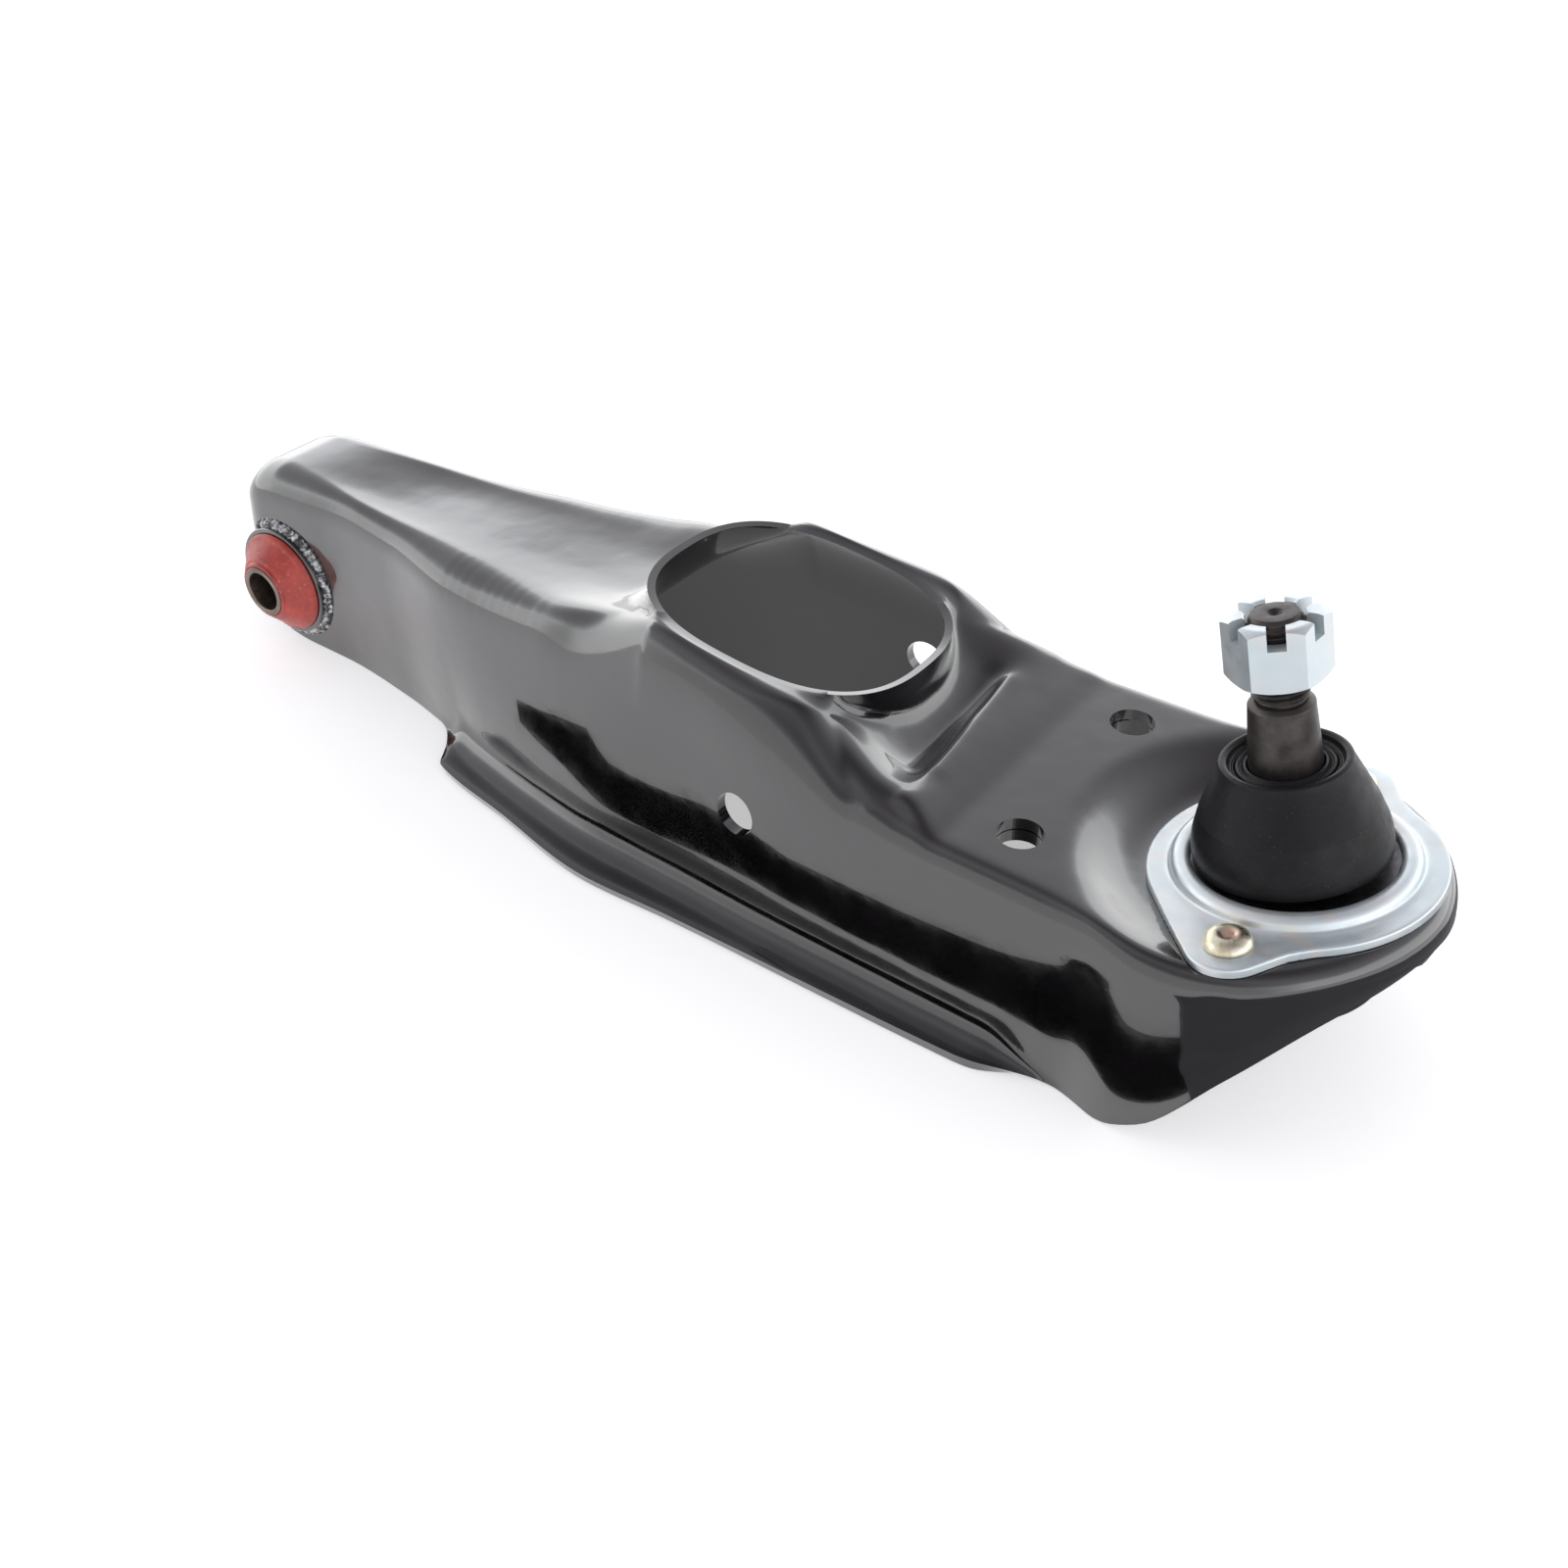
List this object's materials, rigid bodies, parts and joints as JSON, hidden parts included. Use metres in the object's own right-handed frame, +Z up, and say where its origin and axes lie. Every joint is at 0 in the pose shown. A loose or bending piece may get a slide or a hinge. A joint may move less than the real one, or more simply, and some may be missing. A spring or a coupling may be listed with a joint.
{
  "type": "control arm",
  "caption": "Pressed-steel lower control arm with a bushed pivot eye, a collared damper opening, a strut rod pad and a riveted ball joint with boot and castle nut",
  "frame": {"origin": "centre of the pivot bush, on the axis of its sleeve", "axes": "+X along the arm from the pivot bush to the ball joint, +Y along the bush sleeve, +Z up, the way the ball stud points"},
  "size_m": [0.4239, 0.1268, 0.1278],
  "materials": {
    "gloss_black_paint": "gloss, thick sprayed enamel",
    "black_steel": "gloss black paint over bare steel",
    "weld_metal": "rippled weld bead under thin paint",
    "red_bush": "satin, brick red",
    "sleeve_steel": "dull turned steel, slightly brown",
    "zinc_plate": "bright blue-white zinc plating",
    "yellow_zinc": "yellow zinc plating, rubbed",
    "socket_steel": "dark pressed steel",
    "bearing_plastic": "natural acetal",
    "spring_steel": "blued spring steel",
    "boot_rubber": "satin black",
    "phosphated_steel": "dark phosphate, machined"
  },
  "bodies": {
    "root": {"arm_shell": "gloss_black_paint", "strut_reinforcement": "black_steel", "pivot_eye_tube": "gloss_black_paint", "eye_weld_near": "weld_metal", "eye_weld_far": "weld_metal", "bush_half_near": "red_bush", "bush_half_far": "red_bush", "ball_joint_flange": "zinc_plate", "flange_rivets": "yellow_zinc", "ball_socket_housing": "socket_steel", "upper_ball_seat": "bearing_plastic", "pressure_plate": "socket_steel", "preload_spring": "spring_steel", "socket_end_cap": "socket_steel", "boot_base_ring": "socket_steel", "dust_boot": "boot_rubber"},
    "sleeve": {"bush_sleeve": "sleeve_steel"},
    "floating_seat": {"floating_ball_seat": "bearing_plastic"},
    "boot_neck": {"boot_neck_ring": "socket_steel", "boot_lip": "boot_rubber"},
    "stud": {"ball_stud": "phosphated_steel"},
    "nut": {"castle_nut": "zinc_plate"}
  },
  "joints": [
    {"name": "bush_twist", "type": "hinge", "parent": "root", "child": "sleeve", "pos_m": [0, 0, 0], "axis": [0, 1, 0], "range_deg": [-30, 30]},
    {"name": "stud_tilt_along", "type": "hinge", "parent": "root", "child": "floating_seat", "pos_m": [0.36147, 0, 0.02614], "axis": [0, 1, 0], "range_deg": [-16, 21], "deforming": ["dust_boot"]},
    {"name": "stud_tilt_across", "type": "hinge", "parent": "floating_seat", "child": "boot_neck", "pos_m": [0.36147, 0, 0.02614], "axis": [0.9703, 0, 0.2419], "range_deg": [-18, 18], "deforming": ["dust_boot"]},
    {"name": "stud_spin", "type": "hinge", "parent": "boot_neck", "child": "stud", "pos_m": [0.36147, 0, 0.02614], "axis": [-0.2419, 0, 0.9703], "continuous": true},
    {"name": "nut_spin", "type": "hinge", "parent": "stud", "child": "nut", "pos_m": [0.34492, 0, 0.09251], "axis": [-0.2419, 0, 0.9703], "continuous": true}
  ]
}
